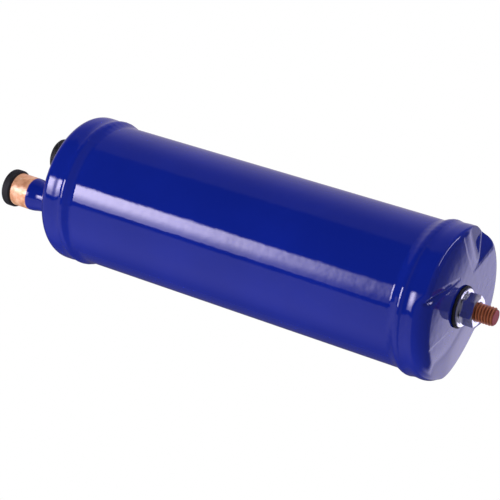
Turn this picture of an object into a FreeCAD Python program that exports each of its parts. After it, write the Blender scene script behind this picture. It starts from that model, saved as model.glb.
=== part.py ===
import FreeCAD, Part
import math
import os

import Sketcher

# Suction accumulator for a refrigeration circuit. Millimetres, +Z up.
# The origin is on the axis, at the outer face of the bottom head, where a bracket would be clamped.
# Both sockets stand in the XZ plane: the inlet at -X and the outlet at +X.

SIZES = {
    # Vessel
    "shell_outer_diameter": 76.1,
    "shell_wall": 2.0,
    "body_length": 231.5,
    "shell_setback": 8.5,
    "cap_wall": 1.6,
    "cap_fit": 0.15,
    "cap_height": 15.5,
    "knuckle_radius": 5.0,
    # Weld beads between the caps and the shell
    "bead_leg": 5.5,
    "bead_overlap": 2.7,
    "bead_crown": 0.35,
    "bead_crown_drop": 0.9,
    # Dents pressed into the bottom head, each a fan of flat facets from an apex on the face
    "broad_dent_apex_radius": 22.0,
    "broad_dent_apex_angle": 112.0,
    "broad_dent_start": 38.0,
    "broad_dent_floor_start": 56.0,
    "broad_dent_floor_start_depth": 6.0,
    "broad_dent_floor_end": 108.0,
    "broad_dent_floor_end_depth": 5.0,
    "broad_dent_end": 150.0,
    "narrow_dent_apex_radius": 21.7,
    "narrow_dent_apex_angle": 232.0,
    "narrow_dent_start": 202.5,
    "narrow_dent_valley": 207.5,
    "narrow_dent_depth": 4.0,
    "narrow_dent_end": 214.0,
    "side_dent_apex_radius": 23.6,
    "side_dent_apex_angle": 317.0,
    "side_dent_start": 303.0,
    "side_dent_valley": 316.0,
    "side_dent_depth": 4.5,
    "side_dent_end": 336.0,
    "dent_rounding": 1.5,
    # Connection tubes
    "tube_inset": 17.2,
    "tube_diameter": 15.88,
    "tube_wall": 0.9,
    "tube_hole_fit": 0.1,
    "socket_bore": 16.0,
    "swage_start": 10.8,
    "swage_end": 15.8,
    "swage_rounding": 2.0,
    "tube_end": 28.0,
    "braze_leg": 2.4,
    "braze_throat": 0.8,
    # Inlet tube inside the vessel
    "inlet_drop": 30.0,
    "mitre_angle": 45.0,
    # U-tube inside the vessel
    "leg_angle": 110.0,
    "mouth_drop": 8.0,
    "bleed_hole_radius": 0.8,
    "bleed_hole_drop": 18.0,
    # Baffle and steady strap that carry the U-tube
    "baffle_thickness": 1.5,
    "baffle_drop": 46.0,
    "baffle_fit": 0.15,
    "baffle_gap": 12.0,
    "strap_rise": 29.0,
    "strap_thickness": 2.5,
    "strap_margin": 3.0,
    "strap_end_rounding": 8.0,
    # Oil pick-up under the bend
    "pickup_clearance": 3.5,
    "orifice_stem_radius": 1.9,
    "orifice_fit": 0.1,
    "orifice_bore_radius": 0.6,
    "orifice_reach": 0.7,
    "orifice_flange_radius": 4.5,
    "orifice_flange_thickness": 1.5,
    "spigot_radius": 3.0,
    "spigot_length": 2.2,
    "spigot_fit": 0.05,
    "screen_radius": 6.5,
    "screen_wall": 0.5,
    "screen_height": 8.0,
    "collar_radius": 7.0,
    "collar_thickness": 1.2,
    # Mounting stud, washers and nut
    "stud_diameter": 9.525,
    "stud_length": 18.6,
    "stud_tip_chamfer": 0.9,
    "stud_hole_fit": 0.15,
    "stud_head_radius": 9.0,
    "stud_head_thickness": 3.0,
    "stud_weld_leg": 2.2,
    "rubber_radius": 10.9,
    "rubber_thickness": 1.2,
    "rubber_rounding": 0.35,
    "washer_radius": 9.9,
    "washer_thickness": 1.0,
    "washer_hole_fit": 0.35,
    "washer_rounding": 0.2,
    "nut_across_flats": 14.29,
    "nut_thickness": 7.0,
    "nut_bore_fit": 0.06,
    "nut_chamfer_inset": 1.1,
    "nut_chamfer_drop": 0.64,
    "nut_countersink": 0.5,
    # Transport plugs in the sockets
    "plug_radius": 10.12,
    "plug_thickness": 5.1,
    "plug_rounding": 1.1,
    "plug_reach": 9.0,
    "plug_fit": 0.08,
    "plug_tip_chamfer": 0.8,
}

document = FreeCAD.newDocument("SuctionAccumulator")
sheet = document.addObject("Spreadsheet::Sheet", "Sizes")
for row, (alias, number) in enumerate(SIZES.items(), start=1):
    sheet.set("A%d" % row, alias)
    sheet.set("B%d" % row, str(number))
    sheet.setAlias("B%d" % row, alias)
document.recompute()

# Radii and heights that several pieces share, as expressions on the sheet
SHELL_RADIUS = "Sizes.shell_outer_diameter / 2"
CAP_BORE = "(Sizes.shell_outer_diameter / 2 + Sizes.cap_fit)"
CAP_RADIUS = "(Sizes.shell_outer_diameter / 2 + Sizes.cap_fit + Sizes.cap_wall)"
TUBE_RADIUS = "Sizes.tube_diameter / 2"
TUBE_BORE = "(Sizes.tube_diameter / 2 - Sizes.tube_wall)"
SOCKET_BORE = "Sizes.socket_bore / 2"
SOCKET_RADIUS = "(Sizes.socket_bore / 2 + Sizes.tube_wall)"
STUB_OFFSET = "(Sizes.shell_outer_diameter / 2 - Sizes.tube_inset)"
STUD_RADIUS = "Sizes.stud_diameter / 2"
TUBE_TOP = "(Sizes.body_length + Sizes.tube_end)"
LEG_PITCH = "(2 * %s * sin(Sizes.leg_angle * 0.5 deg))" % STUB_OFFSET
STUD_HEAD_TOP = "(Sizes.cap_wall + Sizes.stud_head_thickness)"
SCREEN_UNDERSIDE = "(%s + Sizes.pickup_clearance + Sizes.collar_thickness)" % STUD_HEAD_TOP
COLLAR_UNDERSIDE = "(%s + Sizes.screen_height)" % SCREEN_UNDERSIDE
FLANGE_UNDERSIDE = "(%s + Sizes.collar_thickness)" % COLLAR_UNDERSIDE
BEND_UNDERSIDE = "(%s + Sizes.orifice_flange_thickness)" % FLANGE_UNDERSIDE
BEND_HEIGHT = "(%s + Sizes.tube_diameter / 2 + %s / 2)" % (BEND_UNDERSIDE, LEG_PITCH)
RUBBER_FACE = "(-Sizes.rubber_thickness)"
WASHER_FACE = "(-Sizes.rubber_thickness - Sizes.washer_thickness)"
NUT_FACE = "(%s - Sizes.nut_thickness)" % WASHER_FACE
INNER_KNUCKLE = "(Sizes.knuckle_radius - Sizes.cap_wall)"

# The sizes that place each dent's folds in order round the rim: an angle and, if pressed in, a depth
SIDE_FOLDS = (("_start", None), ("_valley", "_depth"), ("_end", None))
FLOOR_FOLDS = (
    ("_start", None),
    ("_floor_start", "_floor_start_depth"),
    ("_floor_end", "_floor_end_depth"),
    ("_end", None),
)
DENTS = {"broad_dent": FLOOR_FOLDS, "narrow_dent": SIDE_FOLDS, "side_dent": SIDE_FOLDS}

# Largest gap in millimetres between an edge and the ring it is looked for on
SAME_RING = 1e-4
# Least vertical part of an upright edge's direction, and of a level face's normal
UPRIGHT = 0.999
# Least angle in degrees between two facets of a dent whose fold is rounded
DEEP_FOLD = 30.0


def size(alias):
    """The number in the sheet under this alias."""
    return float(sheet.get(alias))


def new_body(name):
    """A body whose label is the name of its file."""
    body = document.addObject("PartDesign::Body", name)
    body.Label = name
    return body


def place(body, **expressions):
    """Bind parts of a body's placement, such as Base_x, to the sheet."""
    for path, expression in expressions.items():
        body.setExpression("Placement." + path.replace("_", "."), expression)
    return body


def origin_plane(body, role):
    """The plane of a body's own origin that has this role."""
    return next(item for item in body.Origin.OriginFeatures if item.Role == role)


def new_sketch(body, name, role, lift=None):
    """A sketch on one of the body's own planes, lifted along its normal."""
    sketch = body.newObject("Sketcher::SketchObject", name)
    sketch.AttachmentSupport = [(origin_plane(body, role), "")]
    sketch.MapMode = "FlatFace"
    if lift is not None:
        sketch.setExpression("AttachmentOffset.Base.z", lift)
    return sketch


def bind_point(sketch, geometry, point, expressions):
    """Hold one point of a sketch at coordinates given by two expressions."""
    axes = (("DistanceX", -2), ("DistanceY", -1))
    for (kind, axis), expression in zip(axes, expressions):
        if expression == "0":
            sketch.addConstraint(Sketcher.Constraint("PointOnObject", geometry, point, axis))
            continue
        index = sketch.addConstraint(Sketcher.Constraint(kind, -1, 1, geometry, point, 1.0))
        sketch.setExpression("Constraints[%d]" % index, expression)


def draw_outline(sketch, corners):
    """A closed outline of straight lines through corners given as expressions."""
    count = len(corners)
    turn = 2 * math.pi / count
    # Any ring clear of both axes will do here: the expressions move its corners
    clear = 5
    start = [FreeCAD.Vector(clear + math.cos(i * turn), clear + math.sin(i * turn), 0) for i in range(count)]
    for i in range(count):
        sketch.addGeometry(Part.LineSegment(start[i], start[(i + 1) % count]), False)
    for i in range(count):
        sketch.addConstraint(Sketcher.Constraint("Coincident", i, 2, (i + 1) % count, 1))
    for i, corner in enumerate(corners):
        bind_point(sketch, i, 1, corner)
    return sketch


def draw_circle(sketch, radius, centre=("0", "0")):
    """A circle whose radius and centre are expressions."""
    circle = Part.Circle(FreeCAD.Vector(1, 1, 0), FreeCAD.Vector(0, 0, 1), 1)
    geometry = sketch.addGeometry(circle, False)
    bind_point(sketch, geometry, 3, centre)
    index = sketch.addConstraint(Sketcher.Constraint("Radius", geometry, 1.0))
    sketch.setExpression("Constraints[%d]" % index, radius)
    return sketch


def revolve(body, name, corners):
    """Revolve an outline in the body's XZ plane about its Z axis."""
    sketch = draw_outline(new_sketch(body, name + "_outline", "XZ_Plane"), corners)
    turned = body.newObject("PartDesign::Revolution", name)
    turned.Profile = sketch
    turned.ReferenceAxis = (sketch, ["V_Axis"])
    turned.Angle = 360
    document.recompute()
    return turned


def pad(body, name, sketch, length):
    """Pad a sketch by a length given as an expression."""
    raised = body.newObject("PartDesign::Pad", name)
    raised.Profile = sketch
    raised.setExpression("Length", length)
    document.recompute()
    return raised


def pocket(body, name, sketch):
    """Cut a sketch right through the body, both ways."""
    before = body.Shape.Volume
    cut = body.newObject("PartDesign::Pocket", name)
    cut.Profile = sketch
    cut.Type = "ThroughAll"
    cut.Midplane = True
    document.recompute()
    if not body.Shape.Volume < before:
        raise RuntimeError(name + " cuts nothing")
    return cut


def round_edges(body, name, radius, rings):
    """Fillet the circular edges that lie at these radii and heights of the body."""
    base = body.Tip
    names = ring_edges(base.Shape, rings)
    fillet = body.newObject("PartDesign::Fillet", name)
    fillet.Base = (base, names)
    fillet.setExpression("Radius", radius)
    document.recompute()
    return fillet


def ring_edges(shape, rings):
    """Names of a shape's circular edges about its Z axis, found by radius and height."""
    names = []
    for number, edge in enumerate(shape.Edges, start=1):
        if not isinstance(edge.Curve, Part.Circle):
            continue
        centre = edge.Curve.Center
        for radius, height in rings:
            off = (edge.Curve.Radius - radius, centre.z - height, math.hypot(centre.x, centre.y))
            if max(abs(gap) for gap in off) < SAME_RING:
                names.append("Edge%d" % number)
    if not names:
        raise RuntimeError("no edge on these rings")
    return names


# Sheet sizes that the edge searches and the pressed dents use as numbers
shell_radius = size("shell_outer_diameter") / 2
cap_bore = shell_radius + size("cap_fit")
cap_radius = cap_bore + size("cap_wall")
body_length = size("body_length")
stub_offset = shell_radius - size("tube_inset")
tube_radius = size("tube_diameter") / 2
socket_radius = size("socket_bore") / 2 + size("tube_wall")
tube_top = body_length + size("tube_end")


def make_shell():
    """The rolled steel tube between the two caps."""
    body = new_body("shell_tube")
    sketch = new_sketch(body, "shell_section", "XY_Plane", "Sizes.shell_setback")
    draw_circle(sketch, SHELL_RADIUS)
    draw_circle(sketch, "Sizes.shell_outer_diameter / 2 - Sizes.shell_wall")
    pad(body, "shell_pad", sketch, "Sizes.body_length - 2 * Sizes.shell_setback")
    return body


def make_top_cap():
    """The deep-drawn top cap with its two tube holes."""
    body = new_body("top_cap")
    lip = "Sizes.body_length - Sizes.cap_height"
    inside = "Sizes.body_length - Sizes.cap_wall"
    revolve(body, "top_cap_form", [
        ("0", inside),
        (CAP_BORE, inside),
        (CAP_BORE, lip),
        (CAP_RADIUS, lip),
        (CAP_RADIUS, "Sizes.body_length"),
        ("0", "Sizes.body_length"),
    ])
    round_edges(body, "top_knuckle", "Sizes.knuckle_radius", [(cap_radius, body_length)])
    inner_ring = (cap_bore, body_length - size("cap_wall"))
    round_edges(body, "top_inner_knuckle", INNER_KNUCKLE, [inner_ring])
    holes = new_sketch(body, "tube_holes", "XY_Plane")
    for side in ("", "-"):
        centre = (side + STUB_OFFSET, "0")
        draw_circle(holes, "Sizes.tube_diameter / 2 + Sizes.tube_hole_fit", centre)
    pocket(body, "tube_holes_cut", holes)
    return body


def head_form(name, radius, floor, knuckle, ring):
    """A solid of the head's outer or inner form, from its floor up to the lip."""
    body = new_body(name)
    revolve(body, name + "_turned", [
        ("0", floor),
        (radius, floor),
        (radius, "Sizes.cap_height"),
        ("0", "Sizes.cap_height"),
    ])
    round_edges(body, name + "_knuckle", knuckle, [ring])
    return body


def head_point(radius, angle, height=0.0):
    """A point above the head's face, from its radius, angle in degrees and height."""
    turn = math.radians(angle)
    return FreeCAD.Vector(radius * math.cos(turn), radius * math.sin(turn), height)


def dent_fans():
    """Each dent as its apex on the face and the points where its folds cross the rim."""
    fans = []
    for dent, folds in DENTS.items():
        apex = head_point(size(dent + "_apex_radius"), size(dent + "_apex_angle"))
        points = []
        for angle, depth in folds:
            height = size(dent + depth) if depth else 0.0
            points.append(head_point(cap_radius, size(dent + angle), height))
        fans.append((apex, points))
    return fans


def dent_tool(name, wall):
    """What the dents take from the head: all that lies under the facets, raised by a wall."""
    span = 2 * size("shell_outer_diameter")
    below = size("knuckle_radius")
    corner = FreeCAD.Vector(-span / 2, -span / 2, -below)
    solids = []
    for apex, points in dent_fans():
        under = Part.makeBox(span, span, below + size("cap_height"), corner)
        for first, second in zip(points, points[1:]):
            normal = (first - apex).cross(second - apex)
            if normal.z < 0:
                normal = -normal
            normal.normalize()
            above = Part.makeBox(2 * span, 2 * span, span, FreeCAD.Vector(-span, -span, 0))
            turn = FreeCAD.Rotation(FreeCAD.Vector(0, 0, 1), normal)
            above.Placement = FreeCAD.Placement(apex + normal * wall, turn)
            under = under.cut(above)
        solids.append(under)
    tool = document.addObject("Part::Feature", name)
    tool.Shape = Part.makeCompound(solids)
    return tool


def cut(name, base, tool):
    """One shape minus another."""
    result = document.addObject("Part::Cut", name)
    result.Base = base
    result.Tool = tool
    document.recompute()
    if not result.Shape.Volume < base.Shape.Volume:
        raise RuntimeError(name + " cuts nothing")
    return result


def make_bottom_cap():
    """The bottom cap, with three dents pressed into its head and the stud hole."""
    outer = head_form("head_outside", CAP_RADIUS, "0", "Sizes.knuckle_radius", (cap_radius, 0))
    inner_ring = (cap_bore, size("cap_wall"))
    inner = head_form("head_inside", CAP_BORE, "Sizes.cap_wall", INNER_KNUCKLE, inner_ring)
    pressed_outside = cut("head_pressed_outside", outer, dent_tool("dents_outside", 0))
    rounded = document.addObject("Part::Fillet", "head_rounded_outside")
    rounded.Base = pressed_outside
    radius = size("dent_rounding")
    rounded.Edges = [(number, radius, radius) for number in valley_edges(pressed_outside.Shape)]
    document.recompute()
    pressed_inside = cut("head_pressed_inside", inner, dent_tool("dents_inside", size("cap_wall")))
    pressed_cap = cut("head_wall", rounded, pressed_inside)
    hole = document.addObject("Part::Cylinder", "stud_hole")
    hole.setExpression("Radius", "Sizes.stud_diameter / 2 + Sizes.stud_hole_fit")
    hole.setExpression("Height", "Sizes.cap_height")
    hole.setExpression("Placement.Base.z", "-Sizes.cap_height / 2")
    document.recompute()
    cap = cut("bottom_cap", pressed_cap, hole)
    cap.Label = "bottom_cap"
    return cap


def valley_edges(shape):
    """Numbers of the edges along the dents' deep folds, where two sloping facets meet."""
    numbers = []
    for number, edge in enumerate(shape.Edges, start=1):
        normals = []
        for face in shape.ancestorsOfType(edge, Part.Face):
            normal = face.normalAt(0, 0)
            level = abs(normal.z) > UPRIGHT
            if isinstance(face.Surface, Part.Plane) and not level:
                normals.append(normal)
        if len(normals) == 2 and math.degrees(normals[0].getAngle(normals[1])) > DEEP_FOLD:
            numbers.append(number)
    return numbers


def make_weld_bead(name, from_face):
    """The fillet weld that runs round a cap's lip."""
    body = new_body(name)
    crown_height = "Sizes.cap_height - Sizes.bead_crown_drop"
    revolve(body, name + "_bead", [
        (SHELL_RADIUS, from_face("Sizes.cap_height")),
        (CAP_RADIUS, from_face("Sizes.cap_height")),
        (CAP_RADIUS, from_face("Sizes.cap_height - Sizes.bead_overlap")),
        (CAP_RADIUS + " + Sizes.bead_crown", from_face(crown_height)),
        (SHELL_RADIUS, from_face("Sizes.cap_height + Sizes.bead_leg")),
    ])
    return body


def make_stub_tube(name, turn, bottom):
    """A connection tube: a plain neck, a swage and the socket that takes the pipe."""
    body = new_body(name)
    swage_start = "Sizes.body_length + Sizes.swage_start"
    swage_end = "Sizes.body_length + Sizes.swage_end"
    revolve(body, name + "_socket", [
        (TUBE_BORE, bottom),
        (TUBE_RADIUS, bottom),
        (TUBE_RADIUS, swage_start),
        (SOCKET_RADIUS, swage_end),
        (SOCKET_RADIUS, TUBE_TOP),
        (SOCKET_BORE, TUBE_TOP),
        (SOCKET_BORE, swage_end),
        (TUBE_BORE, swage_start),
    ])
    rings = [(tube_radius, body_length + size("swage_start"))]
    rings.append((socket_radius, body_length + size("swage_end")))
    round_edges(body, name + "_swage", "Sizes.swage_rounding", rings)
    place(body, Base_x=turn)
    return body


def make_inlet_tube():
    """The inlet tube, mitred inside so that it throws the flow against the shell's wall."""
    bottom = "Sizes.body_length - Sizes.inlet_drop"
    body = make_stub_tube("inlet_tube", "-" + STUB_OFFSET, bottom)
    below = bottom + " - Sizes.tube_diameter"
    rise = " + (Sizes.tube_diameter + %s) * tan(Sizes.mitre_angle * 1 deg)" % TUBE_RADIUS
    mitre = new_sketch(body, "inlet_mitre", "XZ_Plane")
    draw_outline(mitre, [
        ("-Sizes.tube_diameter", below),
        (TUBE_RADIUS, below),
        (TUBE_RADIUS, bottom),
        ("-Sizes.tube_diameter", bottom + rise),
    ])
    pocket(body, "inlet_mitre_cut", mitre)
    return body


def make_outlet_u_tube():
    """The outlet tube: down from the socket, round a U-bend and up to an open mouth."""
    straight_end = "Sizes.body_length - Sizes.mouth_drop"
    body = make_stub_tube("outlet_u_tube", STUB_OFFSET, straight_end)
    place(body, Rotation_Angle="90 + Sizes.leg_angle / 2")
    section = new_sketch(body, "u_tube_section", "XY_Plane", straight_end)
    draw_circle(section, TUBE_RADIUS)
    draw_circle(section, TUBE_BORE)
    path = new_sketch(body, "u_tube_path", "XZ_Plane")
    top = body_length - size("mouth_drop")
    pitch = 2 * stub_offset * math.sin(math.radians(size("leg_angle") / 2))
    bend = top / 4
    start = FreeCAD.Vector(0, top, 0)
    down = FreeCAD.Vector(0, bend, 0)
    up = FreeCAD.Vector(pitch, bend, 0)
    mouth = FreeCAD.Vector(pitch, top, 0)
    centre = FreeCAD.Vector(pitch / 2, bend, 0)
    circle = Part.Circle(centre, FreeCAD.Vector(0, 0, 1), pitch / 2)
    path.addGeometry(Part.LineSegment(start, down), False)
    path.addGeometry(Part.ArcOfCircle(circle, math.pi, 2 * math.pi), False)
    path.addGeometry(Part.LineSegment(up, mouth), False)
    path.addConstraint(Sketcher.Constraint("Tangent", 0, 2, 1, 1))
    path.addConstraint(Sketcher.Constraint("Coincident", 1, 2, 2, 1))
    bind_point(path, 0, 1, ("0", straight_end))
    bind_point(path, 0, 2, ("0", BEND_HEIGHT))
    bind_point(path, 2, 1, (LEG_PITCH, BEND_HEIGHT))
    bind_point(path, 2, 2, (LEG_PITCH, straight_end))
    pipe = body.newObject("PartDesign::AdditivePipe", "u_tube_pipe")
    pipe.Profile = section
    pipe.Spine = (path, [])
    document.recompute()
    hole = new_sketch(body, "orifice_hole", "XY_Plane", BEND_HEIGHT + " - " + LEG_PITCH + " / 2")
    draw_circle(hole, "Sizes.orifice_stem_radius + Sizes.orifice_fit", (LEG_PITCH + " / 2", "0"))
    drill(body, "orifice_hole_cut", hole, "Sizes.tube_diameter")
    bleed = new_sketch(body, "bleed_hole", "YZ_Plane")
    draw_circle(bleed, "Sizes.bleed_hole_radius", ("0", "Sizes.body_length - Sizes.bleed_hole_drop"))
    drill(body, "bleed_hole_cut", bleed, "Sizes.tube_diameter")
    return body


def drill(body, name, sketch, depth):
    """Cut a sketch to a depth on the side of its plane that holds the wall."""
    before = body.Shape.Volume
    hole = body.newObject("PartDesign::Pocket", name)
    hole.Profile = sketch
    hole.setExpression("Length", depth)
    document.recompute()
    if not body.Shape.Volume < before:
        raise RuntimeError(name + " cuts nothing")
    return hole


def make_braze_ring(name, offset):
    """The braze fillet where a connection tube leaves the top head."""
    body = new_body(name)
    revolve(body, name + "_fillet", [
        (TUBE_RADIUS, "Sizes.body_length"),
        (TUBE_RADIUS + " + Sizes.braze_leg", "Sizes.body_length"),
        (TUBE_RADIUS + " + Sizes.braze_throat", "Sizes.body_length + Sizes.braze_throat"),
        (TUBE_RADIUS, "Sizes.body_length + Sizes.braze_leg"),
    ])
    place(body, Base_x=offset)
    return body


def make_baffle():
    """The plate under the inlet that both legs pass through, open at the inlet's side."""
    body = new_body("baffle_plate")
    level = "Sizes.body_length - Sizes.baffle_drop"
    inside = "(Sizes.shell_outer_diameter / 2 - Sizes.shell_wall)"
    disc = new_sketch(body, "baffle_disc", "XY_Plane", level)
    draw_circle(disc, inside + " - Sizes.baffle_fit")
    pad(body, "baffle_pad", disc, "Sizes.baffle_thickness")
    legs = new_sketch(body, "baffle_leg_holes", "XY_Plane", level)
    hole = "Sizes.tube_diameter / 2 + Sizes.tube_hole_fit"
    draw_circle(legs, hole, (STUB_OFFSET, "0"))
    turned = "Sizes.leg_angle * 1 deg"
    across = "%s * cos(%s)" % (STUB_OFFSET, turned)
    along = "%s * sin(%s)" % (STUB_OFFSET, turned)
    draw_circle(legs, hole, (across, along))
    pocket(body, "baffle_leg_cut", legs)
    gap = new_sketch(body, "baffle_drain_gap", "XY_Plane", level)
    edge = "-(%s - Sizes.baffle_gap)" % inside
    outside = "-Sizes.shell_outer_diameter"
    draw_outline(gap, [
        (edge, outside),
        (edge, "Sizes.shell_outer_diameter"),
        (outside, "Sizes.shell_outer_diameter"),
        (outside, outside),
    ])
    pocket(body, "baffle_gap_cut", gap)
    return body


def make_steady_strap():
    """The strap brazed across both legs, which keeps them at their pitch."""
    body = new_body("steady_strap")
    place(body, Base_x=STUB_OFFSET, Rotation_Angle="90 + Sizes.leg_angle / 2")
    reach = "(Sizes.tube_diameter / 2 + Sizes.strap_margin)"
    sketch = new_sketch(body, "strap_outline", "XY_Plane", BEND_HEIGHT + " + Sizes.strap_rise")
    draw_outline(sketch, [
        ("-" + reach, "-" + reach),
        (LEG_PITCH + " + " + reach, "-" + reach),
        (LEG_PITCH + " + " + reach, reach),
        ("-" + reach, reach),
    ])
    strap = pad(body, "strap_pad", sketch, "Sizes.strap_thickness")
    upright = []
    for number, edge in enumerate(strap.Shape.Edges, start=1):
        if abs(edge.tangentAt(edge.FirstParameter).z) > UPRIGHT:
            upright.append("Edge%d" % number)
    ends = body.newObject("PartDesign::Fillet", "strap_ends")
    ends.Base = (strap, upright)
    ends.setExpression("Radius", "Sizes.strap_end_rounding")
    document.recompute()
    holes = new_sketch(body, "strap_holes", "XY_Plane")
    hole = "Sizes.tube_diameter / 2 + Sizes.tube_hole_fit"
    draw_circle(holes, hole)
    draw_circle(holes, hole, (LEG_PITCH, "0"))
    pocket(body, "strap_holes_cut", holes)
    return body


def under_bend(body):
    """Place a turned piece on the line below the middle of the U-bend."""
    half = STUB_OFFSET + " / 2"
    turned = "Sizes.leg_angle * 1 deg"
    across = "%s * (1 + cos(%s))" % (half, turned)
    along = "%s * sin(%s)" % (half, turned)
    return place(body, Base_x=across, Base_y=along)


def make_oil_pickup():
    """The metering orifice under the bend, and the screen that guards it."""
    orifice = new_body("orifice_plug")
    stem_top = BEND_UNDERSIDE + " + Sizes.tube_wall + Sizes.orifice_reach"
    spigot_end = FLANGE_UNDERSIDE + " - Sizes.spigot_length"
    revolve(orifice, "orifice_turned", [
        ("Sizes.orifice_bore_radius", spigot_end),
        ("Sizes.spigot_radius", spigot_end),
        ("Sizes.spigot_radius", FLANGE_UNDERSIDE),
        ("Sizes.orifice_flange_radius", FLANGE_UNDERSIDE),
        ("Sizes.orifice_flange_radius", BEND_UNDERSIDE),
        ("Sizes.orifice_stem_radius", BEND_UNDERSIDE),
        ("Sizes.orifice_stem_radius", stem_top),
        ("Sizes.orifice_bore_radius", stem_top),
    ])
    collar = new_body("screen_collar")
    collar_hole = "Sizes.spigot_radius + Sizes.spigot_fit"
    revolve(collar, "collar_turned", [
        (collar_hole, COLLAR_UNDERSIDE),
        ("Sizes.collar_radius", COLLAR_UNDERSIDE),
        ("Sizes.collar_radius", FLANGE_UNDERSIDE),
        (collar_hole, FLANGE_UNDERSIDE),
    ])
    screen = new_body("filter_screen")
    screen_bore = "Sizes.screen_radius - Sizes.screen_wall"
    revolve(screen, "screen_turned", [
        (screen_bore, SCREEN_UNDERSIDE),
        ("Sizes.screen_radius", SCREEN_UNDERSIDE),
        ("Sizes.screen_radius", COLLAR_UNDERSIDE),
        (screen_bore, COLLAR_UNDERSIDE),
    ])
    end_cap = new_body("screen_end_cap")
    cap_underside = SCREEN_UNDERSIDE + " - Sizes.collar_thickness"
    revolve(end_cap, "end_cap_turned", [
        ("0", cap_underside),
        ("Sizes.collar_radius", cap_underside),
        ("Sizes.collar_radius", SCREEN_UNDERSIDE),
        ("0", SCREEN_UNDERSIDE),
    ])
    return [under_bend(body) for body in (orifice, collar, screen, end_cap)]


def make_stud():
    """The mounting stud: a round head inside the vessel and a threaded shank outside."""
    body = new_body("mounting_stud")
    revolve(body, "stud_turned", [
        ("0", "-Sizes.stud_length"),
        (STUD_RADIUS + " - Sizes.stud_tip_chamfer", "-Sizes.stud_length"),
        (STUD_RADIUS, "-Sizes.stud_length + Sizes.stud_tip_chamfer"),
        (STUD_RADIUS, "Sizes.cap_wall"),
        ("Sizes.stud_head_radius", "Sizes.cap_wall"),
        ("Sizes.stud_head_radius", STUD_HEAD_TOP),
        ("0", STUD_HEAD_TOP),
    ])
    weld = new_body("stud_weld")
    revolve(weld, "stud_weld_turned", [
        ("Sizes.stud_head_radius", "Sizes.cap_wall"),
        ("Sizes.stud_head_radius + Sizes.stud_weld_leg", "Sizes.cap_wall"),
        ("Sizes.stud_head_radius", "Sizes.cap_wall + Sizes.stud_weld_leg"),
    ])
    return [body, weld]


def make_washers():
    """The rubber washer against the head and the plated washer under the nut."""
    rubber = new_body("rubber_washer")
    hole = STUD_RADIUS + " + Sizes.stud_hole_fit"
    revolve(rubber, "rubber_turned", [
        (hole, RUBBER_FACE),
        ("Sizes.rubber_radius", RUBBER_FACE),
        ("Sizes.rubber_radius", "0"),
        (hole, "0"),
    ])
    rim = size("rubber_radius")
    rings = [(rim, -size("rubber_thickness")), (rim, 0)]
    round_edges(rubber, "rubber_rim", "Sizes.rubber_rounding", rings)
    washer = new_body("flat_washer")
    hole = STUD_RADIUS + " + Sizes.washer_hole_fit"
    revolve(washer, "washer_turned", [
        (hole, WASHER_FACE),
        ("Sizes.washer_radius", WASHER_FACE),
        ("Sizes.washer_radius", RUBBER_FACE),
        (hole, RUBBER_FACE),
    ])
    front = -size("rubber_thickness") - size("washer_thickness")
    round_edges(washer, "washer_rim", "Sizes.washer_rounding", [(size("washer_radius"), front)])
    return [rubber, washer]


def make_nut():
    """The hexagon nut, chamfered at both ends and countersunk."""
    body = new_body("mounting_nut")
    corner = "(Sizes.nut_across_flats / 2 / cos(30 deg))"
    inset = corner + " - Sizes.nut_chamfer_inset"
    bore = "(Sizes.stud_diameter / 2 + Sizes.nut_bore_fit)"
    mouth = bore + " + Sizes.nut_countersink"
    revolve(body, "nut_turned", [
        (mouth, WASHER_FACE),
        (inset, WASHER_FACE),
        (corner, WASHER_FACE + " - Sizes.nut_chamfer_drop"),
        (corner, NUT_FACE + " + Sizes.nut_chamfer_drop"),
        (inset, NUT_FACE),
        (mouth, NUT_FACE),
        (bore, NUT_FACE + " + Sizes.nut_countersink"),
        (bore, WASHER_FACE + " - Sizes.nut_countersink"),
    ])
    half = "Sizes.nut_across_flats / 2"
    flat = new_sketch(body, "nut_flat", "XZ_Plane")
    beyond = "Sizes.nut_across_flats"
    draw_outline(flat, [
        (half, NUT_FACE + " - Sizes.nut_thickness"),
        (beyond, NUT_FACE + " - Sizes.nut_thickness"),
        (beyond, WASHER_FACE + " + Sizes.nut_thickness"),
        (half, WASHER_FACE + " + Sizes.nut_thickness"),
    ])
    side = pocket(body, "nut_flat_cut", flat)
    flats = body.newObject("PartDesign::PolarPattern", "nut_flats")
    flats.Originals = [side]
    flats.Axis = (flat, ["V_Axis"])
    flats.Angle = 360
    flats.Occurrences = 6
    body.Tip = flats
    place(body, Rotation_Angle="30")
    document.recompute()
    return body


def make_plug(name, offset):
    """A rubber transport plug: a thick flange on the tube's end and a shank in the socket."""
    body = new_body(name)
    shank = SOCKET_BORE + " - Sizes.plug_fit"
    revolve(body, name + "_turned", [
        ("0", TUBE_TOP + " - Sizes.plug_reach"),
        (shank + " - Sizes.plug_tip_chamfer", TUBE_TOP + " - Sizes.plug_reach"),
        (shank, TUBE_TOP + " - Sizes.plug_reach + Sizes.plug_tip_chamfer"),
        (shank, TUBE_TOP),
        ("Sizes.plug_radius", TUBE_TOP),
        ("Sizes.plug_radius", TUBE_TOP + " + Sizes.plug_thickness"),
        ("0", TUBE_TOP + " + Sizes.plug_thickness"),
    ])
    rim = size("plug_radius")
    rings = [(rim, tube_top), (rim, tube_top + size("plug_thickness"))]
    round_edges(body, name + "_rim", "Sizes.plug_rounding", rings)
    place(body, Base_x=offset)
    return body


def bottom_up(height):
    """A height measured from the bottom head's face."""
    return height


def top_down(height):
    """A height measured from the top head's face."""
    return "Sizes.body_length - (%s)" % height


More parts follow.
